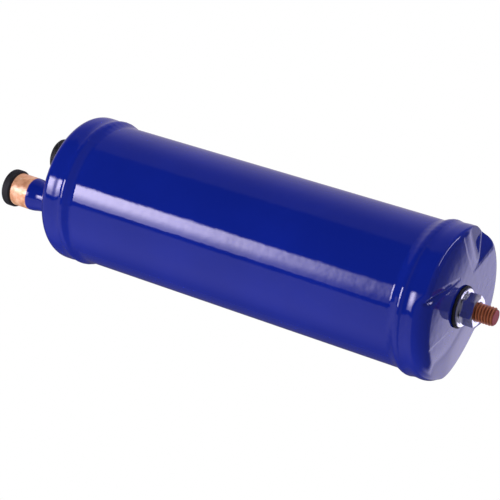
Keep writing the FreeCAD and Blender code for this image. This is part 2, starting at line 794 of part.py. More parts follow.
pieces = [
    make_shell(),
    make_top_cap(),
    make_bottom_cap(),
    make_weld_bead("top_weld_bead", top_down),
    make_weld_bead("bottom_weld_bead", bottom_up),
    make_inlet_tube(),
    make_outlet_u_tube(),
    make_braze_ring("inlet_braze_ring", "-" + STUB_OFFSET),
    make_braze_ring("outlet_braze_ring", STUB_OFFSET),
    make_baffle(),
    make_steady_strap(),
    *make_oil_pickup(),
    *make_stud(),
    *make_washers(),
    make_nut(),
    make_plug("inlet_plug", "-" + STUB_OFFSET),
    make_plug("outlet_plug", STUB_OFFSET),
]
document.recompute()

for item in document.Objects:
    if "Invalid" in item.State or "Error" in item.State:
        raise RuntimeError("%s failed: %s" % (item.Label, item.State))
for piece in pieces:
    if piece.Shape.isNull() or not piece.Shape.isValid() or not piece.Shape.Solids:
        raise RuntimeError(piece.Label + " has no valid solid")

os.makedirs("parts", exist_ok=True)
for piece in pieces:
    piece.Shape.exportStep("parts/%s.step" % piece.Label)
    print("%-20s %d solid, %.1f mm3" % (piece.Label, len(piece.Shape.Solids), piece.Shape.Volume))
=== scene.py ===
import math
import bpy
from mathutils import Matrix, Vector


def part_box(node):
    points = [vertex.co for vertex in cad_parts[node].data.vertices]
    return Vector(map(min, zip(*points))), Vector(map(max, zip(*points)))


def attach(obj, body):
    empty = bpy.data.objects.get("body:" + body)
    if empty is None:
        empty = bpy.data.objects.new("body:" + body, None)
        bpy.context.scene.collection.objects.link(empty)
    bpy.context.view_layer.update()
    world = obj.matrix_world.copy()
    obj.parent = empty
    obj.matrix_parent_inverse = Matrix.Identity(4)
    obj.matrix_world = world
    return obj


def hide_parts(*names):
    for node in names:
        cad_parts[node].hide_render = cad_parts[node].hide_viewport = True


bl_info = {
    "name": "Suction accumulator",
    "version": (1, 0, 0),
    "blender": (4, 5, 0),
    "location": "3D View > Sidebar > Accumulator",
    "description": "Dresses a packed suction accumulator with painted, plated and copper pieces",
    "category": "Object",
}

import bmesh
import bpy
from mathutils import Matrix, Vector, noise

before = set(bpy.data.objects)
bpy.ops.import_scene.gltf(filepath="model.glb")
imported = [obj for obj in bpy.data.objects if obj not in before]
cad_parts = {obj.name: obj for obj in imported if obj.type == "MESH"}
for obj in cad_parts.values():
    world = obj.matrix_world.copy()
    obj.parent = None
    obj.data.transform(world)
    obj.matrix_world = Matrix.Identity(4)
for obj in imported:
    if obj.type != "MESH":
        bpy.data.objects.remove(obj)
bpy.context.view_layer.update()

MM = 0.001
# Points closer than this are one point, in metres
SAME_POINT = 1e-6
# A vertex closer than this to a skin lies on it, in millimetres
SAME_SKIN = 0.02


def low(node):
    """The lowest corner of a CAD node, in millimetres."""
    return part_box(node)[0] / MM


def high(node):
    """The highest corner of a CAD node, in millimetres."""
    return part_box(node)[1] / MM


def reach(node):
    """Half the width of a round CAD node along X, in millimetres."""
    return (high(node).x - low(node).x) / 2


# Sizes in millimetres. Most are read from the CAD nodes, and the others repeat lengths of the source.
SHELL_RADIUS = reach("shell_tube")
SHELL_WALL = 2.0
CAP_RADIUS = reach("top_cap")
CAP_WALL = 1.6
CAP_HEIGHT = high("top_cap").z - low("top_cap").z
KNUCKLE = 5.0
TOP_FACE = high("top_cap").z
BEAD_OVERLAP = 2.7
STUB_OFFSET = (high("inlet_plug").x + low("inlet_plug").x) / -2
TUBE_RADIUS = 7.94
TUBE_WALL = 0.9
SOCKET_RADIUS = reach("inlet_tube")
SOCKET_BORE = SOCKET_RADIUS - TUBE_WALL
SWAGE_START = TOP_FACE + 10.8
SWAGE_END = TOP_FACE + 15.8
TUBE_TOP = high("inlet_tube").z
TUBE_BOTTOM = low("inlet_tube").z
MOUTH = TOP_FACE - 8.0
LEG_ANGLE = math.radians(110)
LEG_PITCH = 2 * STUB_OFFSET * math.sin(LEG_ANGLE / 2)
BEND_HEIGHT = low("outlet_u_tube").z + TUBE_RADIUS + LEG_PITCH / 2
BRAZE_LEG = 2.4
BRAZE_THROAT = 0.8
PLUG_RADIUS = reach("inlet_plug")
PLUG_TOP = high("inlet_plug").z
PLUG_BOTTOM = low("inlet_plug").z
PLUG_FIT = 0.08
STUD_RADIUS = 4.7625
STUD_TIP = low("mounting_stud").z
STUD_HEAD_RADIUS = reach("mounting_stud")
STUD_HEAD_TOP = high("mounting_stud").z
STUD_CHAMFER = 0.9
STUD_HOLE = STUD_RADIUS + 0.15
THREAD_TOP = -0.2
NECK_BOTTOM = -0.6
RUBBER_RADIUS = reach("rubber_washer")
WASHER_RADIUS = reach("flat_washer")
RUBBER_FACE = low("rubber_washer").z
WASHER_FACE = low("flat_washer").z
WASHER_HOLE = STUD_RADIUS + 0.35
NUT_FACE = low("mounting_nut").z
NUT_FLAT = 14.29 / 2
NUT_CORNER = NUT_FLAT / math.cos(math.radians(30))
NUT_BORE = STUD_RADIUS + 0.06
NUT_MOUTH = 0.5
NUT_BEVEL_WIDTH = 1.1
NUT_BEVEL_HEIGHT = 0.64

# The weld bead's surface: height from its edge on the cap, and how far it stands proud of the cap
BEAD_PROFILE = (
    (0.0, -0.06), (0.6, 0.10), (1.3, 0.24), (2.0, 0.29), (2.7, 0.20), (3.4, -0.02),
    (4.2, -0.40), (5.2, -0.88), (6.2, -1.28), (7.2, -1.58), (8.2, -1.78),
)
# The rounded corners of socket_outline: the point's number, the rounding and its segments
SOCKET_CORNERS = ((2, 1.4, 6), (3, 1.4, 6), (4, 0.3, 3), (5, 0.3, 3), (6, 1.2, 5), (7, 1.2, 5))
# The dents pressed into the bottom head. Each has some flanks, the lowest of which holds, and a flank has
# one or two facets, the higher of which holds. A facet is given by three points: radius, angle and depth.
BROAD_APEX, BROAD_START = (22.2, 112, 0.0), (16.7, 33, 0.0)
BROAD_RIDGE = (38.2, 97, 3.5)
NARROW_APEX = (22.0, 233, 0.0)
SIDE_APEX = (23.6, 315, 0.0)
DENTS = (
    (
        ((BROAD_APEX, (34.1, 146, 0.0), BROAD_RIDGE), (BROAD_APEX, BROAD_RIDGE, (38.8, 52, 5.0))),
        ((BROAD_START, (39.8, 38, 0.0), (39.0, 47, 5.0)),),
    ),
    (
        ((NARROW_APEX, (39.8, 202.5, 0.0), (39.8, 207.5, 4.2)),),
        ((NARROW_APEX, (39.8, 207.5, 4.2), (39.8, 214, 0.0)),),
    ),
    (
        ((SIDE_APEX, (39.8, 276, 0.0), (39.8, 321, 6.2)),),
        ((SIDE_APEX, (39.8, 321, 6.2), (39.8, 332, 0.0)),),
    ),
)
# The waist in a cap's wall: its distance from the lip, its reach to each side and its depth
WAIST_PLACE = 4.6
WAIST_REACH = 3.4
WAIST_DEPTH = 0.22
# The head's face falls back towards its rim on one side: the radius where that starts, how far it falls
# and the angle of that side
SAG_START = 13.0
SAG_DEPTH = 1.6
SAG_SIDE = math.radians(258)
# The head's rim is rounded softly on the side of this angle and sharply elsewhere. It changes between
# two cosines of the angle from there.
SOFT_SIDE = math.radians(158)
SOFT_SPAN = (0.5, 0.7)
SHARP_KNUCKLE = 2.6
SOFT_KNUCKLE = 7.5

# The weld ripples' lag to a millimetre from the bead's middle, and how uneven they are: waves round the
# bead, the height in millimetres of a wave, and the ripples' delay
RIPPLE_LAG = 0.25
UNEVEN_WAVES = 5
UNEVEN_HEIGHT = 12
UNEVEN_DELAY = 3
# One pitch of the thread: how far it stands over its root, as a share of its depth, and where, as a share
# of the pitch
THREAD_PROFILE = ((0, 0.0), (0, 0.06), (1, 0.44), (1, 0.56), (0, 0.94), (0, 1.0))
THREAD_STEPS = 48

STEEL_NODES = ("baffle_plate", "steady_strap", "screen_collar", "screen_end_cap", "stud_weld")
# The screen's wires, in radians of a wave to a metre
WIRE_WAVES = 9000.0

# The camera's axes and place, in millimetres, and its focal length
VIEW_RIGHT = Vector((0.54886, 0.01693, -0.83575))
VIEW_UP = Vector((0.43681, -0.85826, 0.26947))
VIEW_BACK = Vector((-0.71273, -0.51295, -0.47844))
VIEW_PLACE = Vector((-667.4, -473.8, -325.0))
VIEW_LENS = 129.6
FLOOR_RADIUS = 6000
FLOOR_HEIGHT = -700
# Each lamp's name, place, target, width and height in millimetres, and its power in watts
LAMPS = (
    ("low side", (-950, 250, 450), (0, 0, TOP_FACE / 2), 600, 900, 15.0),
    ("upper side", (450, -950, 400), (0, 0, TOP_FACE / 2), 600, 900, 13.0),
    ("head side", (-500, 100, -900), (0, 0, 0), 600, 600, 13.0),
)
WHITE = (1.0, 1.0, 1.0)
# Light that falls on the object from all sides, and what its gloss shows where nothing bright is
PLAIN_LIGHT = 0.38
WALL_LIGHT = 0.12
WALL_COLOUR = (0.03, 0.10, 1.0)
# What its gloss shows below and above the horizon is tinted by these
LOW_HUE = (0.88, 0.82, 1.10)
HIGH_HUE = (0.96, 0.86, 1.08)
# The mirrored soft box and a bright strip low down. Bearings are in degrees from the camera's side of
# the object and grow with the azimuth. Heights are in degrees over the horizon. Each pair of numbers is a
# soft edge, but for the light of the box at its two ends.
BOX_SIDES = ((-30, -28), (-4, 0.5))
BOX_HEIGHTS = ((21, 36), (42, 52))
BOX_FADE = (-27, -12)
BOX_LIGHT = (4.8, 16.0)
STRIP_SIDES = ((48, 52), (114, 118))
STRIP_HEIGHTS = ((-38, -36), (-31, -29))
STRIP_LIGHT = 8


class Signal:
    """One output of a shader node. Python's operators on it add Math nodes."""

    def __init__(self, finish, socket):
        self.finish = finish
        self.socket = socket

    def maths(self, operation, *others):
        return self.finish.add("Math", 0, {"operation": operation}, dict(enumerate((self,) + others)))

    def __add__(self, other):
        return self.maths("ADD", other)

    def __sub__(self, other):
        return self.maths("SUBTRACT", other)

    def __rsub__(self, other):
        return self.finish.number(other) - self

    def __mul__(self, other):
        return self.maths("MULTIPLY", other)

    def rise(self, start, end):
        """0 below start and 1 above end, with a smooth step between."""
        settings = {"interpolation_type": "SMOOTHSTEP"}
        inputs = {"Value": self, "From Min": start, "From Max": end}
        return self.finish.add("MapRange", "Result", settings, inputs)

    def window(self, start, end):
        """1 between two soft edges and 0 outside them. An edge is a pair for rise."""
        return self.rise(*start) * (1 - self.rise(*end))

    def span(self, least, most):
        """The signal, which runs from 0 to 1, stretched to run from least to most."""
        return self * (most - least) + least


class Finish:
    """A node tree that is being filled, for a material or for the world."""

    def __init__(self, owner):
        owner.use_nodes = True
        self.tree = owner.node_tree
        self.tree.nodes.clear()

    def add(self, kind, output, settings=None, inputs=None):
        """A new node with its settings first and then its inputs. Gives one of its outputs."""
        node = self.tree.nodes.new("ShaderNode" + kind)
        for name, value in (settings or {}).items():
            setattr(node, name, value)
        for name, value in (inputs or {}).items():
            socket = node.inputs[name]
            if isinstance(value, Signal):
                self.tree.links.new(value.socket, socket)
            elif isinstance(value, tuple) and len(value) < len(socket.default_value):
                socket.default_value = value + (1.0,)
            else:
                socket.default_value = value
        return Signal(self, node.outputs[output])

    def number(self, value):
        """A plain number as a signal."""
        return self.add("Math", 0, {"operation": "ADD"}, {0: value, 1: 0.0})

    def place(self, stretch=(1.0, 1.0, 1.0), centre=(0, 0, 0)):
        """Object coordinates in metres, moved so that a centre is at zero, then stretched."""
        where = self.add("TexCoord", "Object")
        moved = self.add("VectorMath", 0, {"operation": "SUBTRACT"}, {0: where, 1: tuple(centre)})
        return self.add("VectorMath", 0, {"operation": "MULTIPLY"}, {0: moved, 1: tuple(stretch)})

    def axis(self, letter, vector=None):
        """One coordinate of a place."""
        return self.add("SeparateXYZ", letter, None, {"Vector": vector or self.place()})

    def radius(self):
        """Distance from the Z axis, in metres."""
        return self.add("VectorMath", "Value", {"operation": "LENGTH"}, {0: self.place((1.0, 1.0, 0.0))})

    def clouds(self, scale, detail=3.0, roughness=0.55, vector=None):
        """Soft noise between 0 and 1. The scale is in waves to a metre."""
        inputs = {"Vector": vector or self.place(), "Scale": scale}
        inputs.update({"Detail": detail, "Roughness": roughness})
        return self.add("TexNoise", 0, None, inputs)

    def cells(self, scale):
        """A tone between 0 and 1 for each cell of a pattern. The scale is in cells to a metre."""
        pattern = self.add("TexVoronoi", "Color", None, {"Vector": self.place(), "Scale": scale})
        return self.axis("X", pattern)

    def blend(self, mask, first, second):
        """A colour that goes from first to second as the mask goes from 0 to 1."""
        return self.add("Mix", 2, {"data_type": "RGBA"}, {0: mask, 6: first, 7: second})

    def bump(self, height, depth, under=None):
        """A normal from a height between 0 and 1 that stands for a depth in millimetres."""
        inputs = {"Height": height, "Distance": depth * MM, "Strength": 1.0}
        if under is not None:
            inputs["Normal"] = under
        return self.add("Bump", "Normal", None, inputs)

    def surface(self, **values):
        """Close a material with a Principled surface. Underscores in the names stand for spaces."""
        inputs = {name.replace("_", " "): value for name, value in values.items()}
        self.close("Material", self.add("BsdfPrincipled", "BSDF", None, inputs))

    def close(self, kind, shader):
        """Send a shader to the output of a Material or a World."""
        target = self.tree.nodes.new("ShaderNodeOutput" + kind)
        self.tree.links.new(shader.socket, target.inputs["Surface"])


def new_material(name):
    """An empty material and the finish that fills it."""
    material = bpy.data.materials.new(name)
    return material, Finish(material)


def darker(colour, share):
    """A colour with each channel cut to a share."""
    return tuple(channel * share for channel in colour)


def enamel_parts(finish, colours):
    """Colour, roughness and normal of the sprayed blue enamel, for the pieces that carry it."""
    paint = tuple(colours.paint)
    drift = finish.clouds(22.0, 2.0)
    colour = finish.blend(drift.rise(0.35, 0.75), darker(paint, 0.88), paint)
    dust = finish.clouds(2600.0, 1.0).rise(0.74, 0.86)
    colour = finish.blend(dust * 0.10, colour, (0.35, 0.37, 0.5))
    roughness = finish.clouds(60.0, 2.0).span(0.02, 0.09) + dust * 0.2
    ripple = finish.clouds(240.0, 1.5, 0.4)
    runs = finish.clouds(45.0, 1.0, 0.4)
    peel = finish.bump(ripple, 0.036, finish.bump(runs, 0.07))
    return colour, roughness, peel


def enamel(colours):
    """Glossy deep-blue enamel with a faint orange peel."""
    material, finish = new_material("blue enamel")
    colour, roughness, peel = enamel_parts(finish, colours)
    finish.surface(Base_Color=colour, Roughness=roughness, Normal=peel, Specular_IOR_Level=0.5)
    return material


def painted_copper(colours, name, centre):
    """Drawn copper with painted pale highlights, and the enamel running up its neck to a wavy edge."""
    material, finish = new_material(name)
    paint, paint_roughness, peel = enamel_parts(finish, colours)
    copper = tuple(colours.copper)
    tarnish = tuple(colours.tarnish)
    height = finish.axis("Z")
    spread = finish.clouds(110.0, 2.0)
    edge = (SWAGE_END + bpy.context.scene.accumulator_sizes.paint_edge) * MM
    bare = (height + spread * 0.0022).rise(edge + 0.0009, edge + 0.0014)
    streaks = finish.clouds(900.0, 3.0, 0.6, finish.place((1.0, 1.0, 0.12), centre))
    mottle = finish.clouds(240.0, 4.0, 0.6)
    stain = mottle.rise(0.42, 0.66) * 0.7 + streaks.rise(0.4, 0.8) * 0.25
    metal = finish.blend(stain, copper, tarnish)
    # Pale patches at random are a painted highlight on the copper, made a little rougher too
    pale = finish.clouds(300.0, 2.0).rise(0.5, 0.72)
    metal = finish.blend(pale * 0.45, metal, (0.98, 0.78, 0.58))
    metal_roughness = mottle.span(0.28, 0.46) + pale * 0.08
    colour = finish.blend(bare, paint, metal)
    roughness = paint_roughness + bare * (metal_roughness - paint_roughness)
    scratch = finish.bump(streaks, 0.012, peel)
    finish.surface(Base_Color=colour, Roughness=roughness, Metallic=bare * 0.5, Normal=scratch)
    return material


def rubber(colours):
    """Matt black moulded rubber with a little bloom."""
    material, finish = new_material("black rubber")
    bloom = finish.clouds(160.0, 4.0).rise(0.5, 0.85)
    specks = finish.clouds(3400.0, 1.0).rise(0.7, 0.82)
    black = tuple(colours.rubber)
    colour = finish.blend(bloom * 0.5 + specks * 0.3, black, (0.035, 0.035, 0.037))
    roughness = finish.clouds(500.0, 2.0).span(0.55, 0.78)
    skin = finish.bump(finish.clouds(2200.0, 3.0), 0.02, finish.bump(finish.clouds(120.0, 2.0), 0.12))
    finish.surface(Base_Color=colour, Roughness=roughness, Normal=skin)
    return material


def zinc(colours):
    """Bright zinc plating over pressed steel."""
    material, finish = new_material("zinc plate")
    plate = tuple(colours.zinc)
    tone = finish.cells(700.0)
    cloud = finish.clouds(260.0, 4.0)
    colour = finish.blend(cloud.rise(0.4, 0.75) * 0.7 + tone * 0.2, plate, darker(plate, 0.72))
    roughness = cloud.span(0.08, 0.20) + tone * 0.04
    scuffs = finish.bump(finish.clouds(1500.0, 3.0, 0.6), 0.005)
    finish.surface(Base_Color=colour, Roughness=roughness, Metallic=1.0, Normal=scuffs)
    return material


def coppered_steel(colours):
    """Copper-washed steel, with painted shade turning the thread's roots dark brown, and redder on its
    crests and end.
    """
    material, finish = new_material("coppered steel")
    wash = tuple(colours.stud)
    # The crest mask darkens the colour in the thread's roots: painted shade in the grooves
    crest = (finish.radius() * (1 / MM)).rise(STUD_RADIUS - 0.7, STUD_RADIUS - 0.1)
    worn = finish.clouds(700.0, 3.0)
    colour = finish.blend(crest * worn.span(0.6, 1.0), darker(wash, 0.35), wash)
    end = 1 - (finish.axis("Z") * (1 / MM)).rise(STUD_TIP + 0.02, STUD_TIP + 0.3)
    colour = finish.blend(end, colour, tuple(colours.stud_end))
    roughness = worn.span(0.28, 0.5) + end * 0.08
    grain = finish.bump(finish.clouds(2400.0, 2.0), 0.01)
    finish.surface(Base_Color=colour, Roughness=roughness, Metallic=0.5, Normal=grain)
    return material


def bare_steel(colours):
    """Plain rolled steel of the pieces inside."""
    material, finish = new_material("bare steel")
    steel = tuple(colours.steel)
    scale = finish.clouds(90.0, 4.0).rise(0.4, 0.8)
    colour = finish.blend(scale * 0.6, steel, darker(steel, 0.6))
    lines = finish.clouds(700.0, 2.0, 0.5, finish.place((1.0, 0.1, 1.0)))
    grain = finish.bump(lines, 0.01)
    finish.surface(Base_Color=colour, Roughness=lines.span(0.3, 0.5), Metallic=1.0, Normal=grain)
    return material


def screen_mesh(colours):
    """Fine woven wire, drawn as two crossing waves round the screen, with painted shade in the weave's
    hollows.
    """
    material, finish = new_material("woven screen")
    place = finish.place()
    rows = (finish.axis("Z", place) * WIRE_WAVES).maths("SINE")
    columns = ((finish.axis("X", place) + finish.axis("Y", place)) * WIRE_WAVES).maths("SINE")
    weave = (rows * columns).span(0.5, 1.0)
    steel = tuple(colours.steel)
    # Darker where the weave is lowest: painted shade between the wires
    colour = finish.blend(weave, darker(steel, 0.2), steel)
    finish.surface(Base_Color=colour, Roughness=0.4, Metallic=1.0, Normal=finish.bump(weave, 0.08))
    return material


def turned_brass(colours):
    """Turned brass of the metering orifice."""
    material, finish = new_material("turned brass")
    brass = tuple(colours.brass)
    rings = finish.clouds(1200.0, 2.0, 0.5, finish.place((0.1, 0.1, 1.0)))
    colour = finish.blend(rings.rise(0.4, 0.7) * 0.4, brass, darker(brass, 0.7))
    grooves = finish.bump(rings, 0.01)
    finish.surface(Base_Color=colour, Roughness=rings.span(0.18, 0.34), Metallic=1.0, Normal=grooves)
    return material


def turned(outline, corners=(), steps=96, longest=None, closed=True):
    """A bmesh spun from points of radius and height in millimetres.

    Corners holds a point's number, its rounding and the rounding's segments.
    No edge of the outline stays longer than longest.
    """
    form = bmesh.new()
    points = [form.verts.new((radius * MM, 0, height * MM)) for radius, height in outline]
    ends = points[1:] + (points[:1] if closed else [])
    for start, end in zip(points, ends):
        form.edges.new((start, end))
    for number, rounding, segments in corners:
        bmesh.ops.bevel(
            form, geom=[points[number]], offset=rounding * MM, offset_type="OFFSET",
            segments=segments, profile=0.5, affect="VERTICES", material=-1,
        )
    if longest:
        for edge in form.edges[:]:
            cuts = int(edge.calc_length() / (longest * MM))
            if cuts:
                bmesh.ops.subdivide_edges(form, edges=[edge], cuts=cuts)
    bmesh.ops.spin(
        form, geom=form.verts[:] + form.edges[:], cent=(0, 0, 0), axis=(0, 0, 1),
        angle=math.tau, steps=steps, use_merge=True,
    )
    tidy(form)
    return form


def tidy(form):
    """Merge what coincides and turn every face outwards."""
    bmesh.ops.remove_doubles(form, verts=form.verts[:], dist=SAME_POINT)
    bmesh.ops.recalc_face_normals(form, faces=form.faces[:])


def polar(point):
    """Radius and height in millimetres, and the angle, of a vertex."""
    return math.hypot(point.x, point.y) / MM, point.z / MM, math.atan2(point.y, point.x)


def set_radius(vert, radius):
    """Move a vertex to a radius in millimetres about the Z axis."""
    share = radius * MM / math.hypot(vert.co.x, vert.co.y)
    vert.co.x *= share
    vert.co.y *= share


def cut_away(form, point, normal):
    """Cut off what lies beyond a plane through a point in millimetres."""
    bmesh.ops.bisect_plane(
        form, geom=form.verts[:] + form.edges[:] + form.faces[:], dist=SAME_POINT,
        plane_co=Vector(point) * MM, plane_no=normal, clear_outer=True,
    )


def open_edges(form):
    """The edges round a form's openings."""
    return [edge for edge in form.edges if edge.is_boundary]


def faces_of(items):
    """The faces among what a mesh operator gives."""
    return [item for item in items if isinstance(item, bmesh.types.BMFace)]


def new_mesh(name, form, material):
    """A mesh of a finished form, with one material."""
    mesh = bpy.data.meshes.new(name)
    form.to_mesh(mesh)
    form.free()
    mesh.materials.append(material)
    return mesh


def new_object(name, data):
    """An object in the scene."""
    item = bpy.data.objects.new(name, data)
    bpy.context.scene.collection.objects.link(item)
    return item


def settle(form, name, body, node, material, crease=35):
    """Make a finished form into a piece that rides on a body and stands for its CAD node.

    Folds steeper than the crease, in degrees, stay sharp.
    """
    mesh = new_mesh(name, form, material)
    mesh.shade_smooth()
    mesh.set_sharp_from_angle(angle=math.radians(crease))
    piece = new_object(name, mesh)
    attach(piece, body)
    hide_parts(node)


def shift(form, x=0.0, y=0.0, z=0.0, turn=0.0):
    """Turn a form about the Z axis, then move it by millimetres."""
    matrix = Matrix.Translation(Vector((x, y, z)) * MM) @ Matrix.Rotation(turn, 4, "Z")
    bmesh.ops.transform(form, matrix=matrix, verts=form.verts[:])


def soft_max(first, second, width):
    """The larger of two numbers, with a rounded change from one to the other."""
    return (first + second + math.sqrt((first - second) ** 2 + width ** 2)) / 2


def smooth_step(value, start, end):
    """0 below start and 1 above end, with a smooth step between."""
    share = min(max((value - start) / (end - start), 0.0), 1.0)
    return share * share * (3 - 2 * share)


def slopes(facet):
    """Slopes along X and Y of a facet's plane, and its height over the axis."""
    places = []
    for radius, angle, depth in facet:
        turn = math.radians(angle)
        places.append(Vector((radius * math.cos(turn), radius * math.sin(turn), depth)))
    first, second, third = places
    normal = (second - first).cross(third - first)
    slope_x, slope_y = -normal.x / normal.z, -normal.y / normal.z
    return slope_x, slope_y, first.z - slope_x * first.x - slope_y * first.y


def dent_height(dents, x, y, wall, rounding):
    """Height in millimetres of the dents' surface over a point of the bottom head.

    The inner skin's surface lies a wall's thickness above the outer one, square to each facet.
    """
    highest = -CAP_HEIGHT
    for flanks in dents:
        lowest = None
        for facets in flanks:
            flank = None
            for slope_x, slope_y, level in facets:
                lift = wall * math.sqrt(1 + slope_x ** 2 + slope_y ** 2)
                facet = slope_x * x + slope_y * y + level + lift
                flank = facet if flank is None else soft_max(flank, facet, rounding)
            lowest = flank if lowest is None else -soft_max(-lowest, -flank, rounding)
        highest = max(highest, lowest)
    return highest


def shape_knuckle(form):
    """Round the head's rim softly on one side and sharply on the other."""
    start = CAP_RADIUS / 2
    for vert in form.verts:
        radius, height, angle = polar(vert.co)
        share = smooth_step(math.cos(angle - SOFT_SIDE), *SOFT_SPAN)
        knuckle = SHARP_KNUCKLE + (SOFT_KNUCKLE - SHARP_KNUCKLE) * share
        across, along = radius - CAP_RADIUS + KNUCKLE, height - KNUCKLE
        if height < SAME_SKIN and start < radius < CAP_RADIUS - KNUCKLE + SAME_SKIN:
            stretch = (CAP_RADIUS - knuckle - start) / (CAP_RADIUS - KNUCKLE - start)
            set_radius(vert, start + (radius - start) * stretch)
        elif radius > CAP_RADIUS - SAME_SKIN and along > -SAME_SKIN:
            stretch = (CAP_HEIGHT - knuckle) / (CAP_HEIGHT - KNUCKLE)
            vert.co.z = (knuckle + along * stretch) * MM
        elif across > 0 > along and abs(math.hypot(across, along) - KNUCKLE) < SAME_SKIN:
            set_radius(vert, CAP_RADIUS - knuckle + across * knuckle / KNUCKLE)
            vert.co.z = (knuckle + along * knuckle / KNUCKLE) * MM


def waist_cap(form, lip):
    """Draw the cap's wall in a little between its rim and the bead at its lip."""
    for vert in form.verts:
        radius, height, _ = polar(vert.co)
        gap = (abs(height - lip) - WAIST_PLACE) / WAIST_REACH
        if radius > CAP_RADIUS - SAME_SKIN and abs(gap) < 1:
            set_radius(vert, radius - WAIST_DEPTH * (0.5 + 0.5 * math.cos(math.pi * gap)))


def inner_skin(form):
    """The vertices on the inner skin of the bottom cap, before its rim is reshaped."""
    bend_centre = CAP_RADIUS - KNUCKLE
    skin_middle = KNUCKLE - CAP_WALL / 2
    inner = set()
    for vert in form.verts:
        radius, height, _ = polar(vert.co)
        if radius < bend_centre:
            if height > CAP_WALL / 2:
                inner.add(vert)
        elif height > KNUCKLE:
            if radius < CAP_RADIUS - CAP_WALL / 2:
                inner.add(vert)
        elif math.hypot(radius - bend_centre, height - KNUCKLE) < skin_middle:
            inner.add(vert)
    return inner


def sag(point):
    """How far the head's face falls back at a vertex, in millimetres."""
    radius, height, angle = polar(point)
    outward = max(0, (radius - SAG_START) / (CAP_RADIUS - SAG_START)) ** 2
    side = (0.5 + 0.5 * math.cos(angle - SAG_SIDE)) ** 3
    return SAG_DEPTH * outward * side * (1 - height / CAP_HEIGHT)


def press_dents(form, rounding, softness):
    """Shape the bottom cap's rim, let its face sag and push the dents into both skins."""
    dents = [[[slopes(facet) for facet in facets] for facets in flanks] for flanks in DENTS]
    inner = inner_skin(form)
    shape_knuckle(form)
    for vert in form.verts:
        wall = CAP_WALL if vert in inner else 0.0
        pressed = dent_height(dents, vert.co.x / MM, vert.co.y / MM, wall, rounding)
        height = vert.co.z / MM + sag(vert.co)
        if pressed > height - 3 * softness:
            height = soft_max(height, pressed, softness)
        vert.co.z = min(height, CAP_HEIGHT) * MM
    bmesh.ops.recalc_face_normals(form, faces=form.faces[:])


def ripple_bead(form, middle, ripple, pitch):
    """Give a weld bead its faint ripples and a slightly uneven edge under the paint."""
    count = round(math.tau * SHELL_RADIUS / pitch)
    for vert in form.verts:
        radius, height, angle = polar(vert.co)
        if radius < SHELL_RADIUS + 0.05:
            continue
        around = Vector((math.cos(angle), math.sin(angle), 0)) * UNEVEN_WAVES
        uneven = noise.noise(around + Vector((0, 0, height / UNEVEN_HEIGHT)))
        wave = math.cos(count * angle - RIPPLE_LAG * abs(height - middle) + UNEVEN_DELAY * uneven)
        set_radius(vert, radius - ripple * (0.5 - 0.5 * wave) - ripple * abs(uneven))


def level_faces(form, height):
    """The level faces of a form at a height in millimetres."""
    level = {vert for vert in form.verts if abs(vert.co.z - height * MM) < SAME_POINT}
    return [face for face in form.faces if level.issuperset(face.verts)]


def extrude_faces(form, faces, vector):
    """Carry faces along a vector in millimetres and give them in their new place."""
    made = bmesh.ops.extrude_face_region(form, geom=faces)["geom"]
    verts = [item for item in made if isinstance(item, bmesh.types.BMVert)]
    bmesh.ops.translate(form, verts=verts, vec=Vector(vector) * MM)
    bmesh.ops.delete(form, geom=[face for face in faces if face.is_valid], context="FACES_ONLY")
    return faces_of(made)


def socket_outline(bottom):
    """Outline of a connection tube from its lower end to its socket."""
    return [
        (TUBE_RADIUS - TUBE_WALL, bottom),
        (TUBE_RADIUS, bottom),
        (TUBE_RADIUS, SWAGE_START),
        (SOCKET_RADIUS, SWAGE_END),
        (SOCKET_RADIUS, TUBE_TOP),
        (SOCKET_BORE, TUBE_TOP),
        (SOCKET_BORE, SWAGE_END),
        (TUBE_RADIUS - TUBE_WALL, SWAGE_START),
    ]


def threaded_rod(depth, pitch):
    """The stud's closed rod with its helical thread, chamfered at its lower end."""
    turns = math.ceil((THREAD_TOP - STUD_TIP) / pitch) + 2
    root = STUD_RADIUS - depth
    form = bmesh.new()
    points = []
    for height, share in THREAD_PROFILE:
        place = Vector((root + height * depth, 0, STUD_TIP + (share - 1.5) * pitch))
        points.append(form.verts.new(place * MM))
    edges = [form.edges.new(pair) for pair in zip(points, points[1:])]
    bmesh.ops.spin(
        form, geom=points + edges, cent=(0, 0, 0), axis=(0, 0, 1), angle=math.tau * turns,
        steps=THREAD_STEPS * turns, dvec=(0, 0, pitch * MM / THREAD_STEPS), use_merge=False,
    )
    bmesh.ops.remove_doubles(form, verts=form.verts[:], dist=SAME_POINT)
    cut_away(form, (0, 0, THREAD_TOP), (0, 0, 1))
    cut_away(form, (0, 0, STUD_TIP), (0, 0, -1))
    bmesh.ops.holes_fill(form, edges=open_edges(form), sides=0)
    for vert in form.verts:
        distance, height, _ = polar(vert.co)
        limit = STUD_RADIUS - STUD_CHAMFER + height - STUD_TIP
        if distance > limit:
            set_radius(vert, limit)
    tidy(form)
    return form


def join(first, second):
    """Add the second form's mesh to the first."""
    mesh = bpy.data.meshes.new("joined")
    second.to_mesh(mesh)
    second.free()
    first.from_mesh(mesh)
    bpy.data.meshes.remove(mesh)
    return first


def size(name, about, default, least, most):
    """A size in millimetres in the panel."""
    return bpy.props.FloatProperty(
        name=name, description=about + ", in millimetres", default=default, min=least, max=most)


def tint(name, about, default):
    """A colour in the panel."""
    return bpy.props.FloatVectorProperty(
        name=name, description="Colour of " + about, subtype="COLOR", size=3,
        default=default, min=0.0, max=1.0)


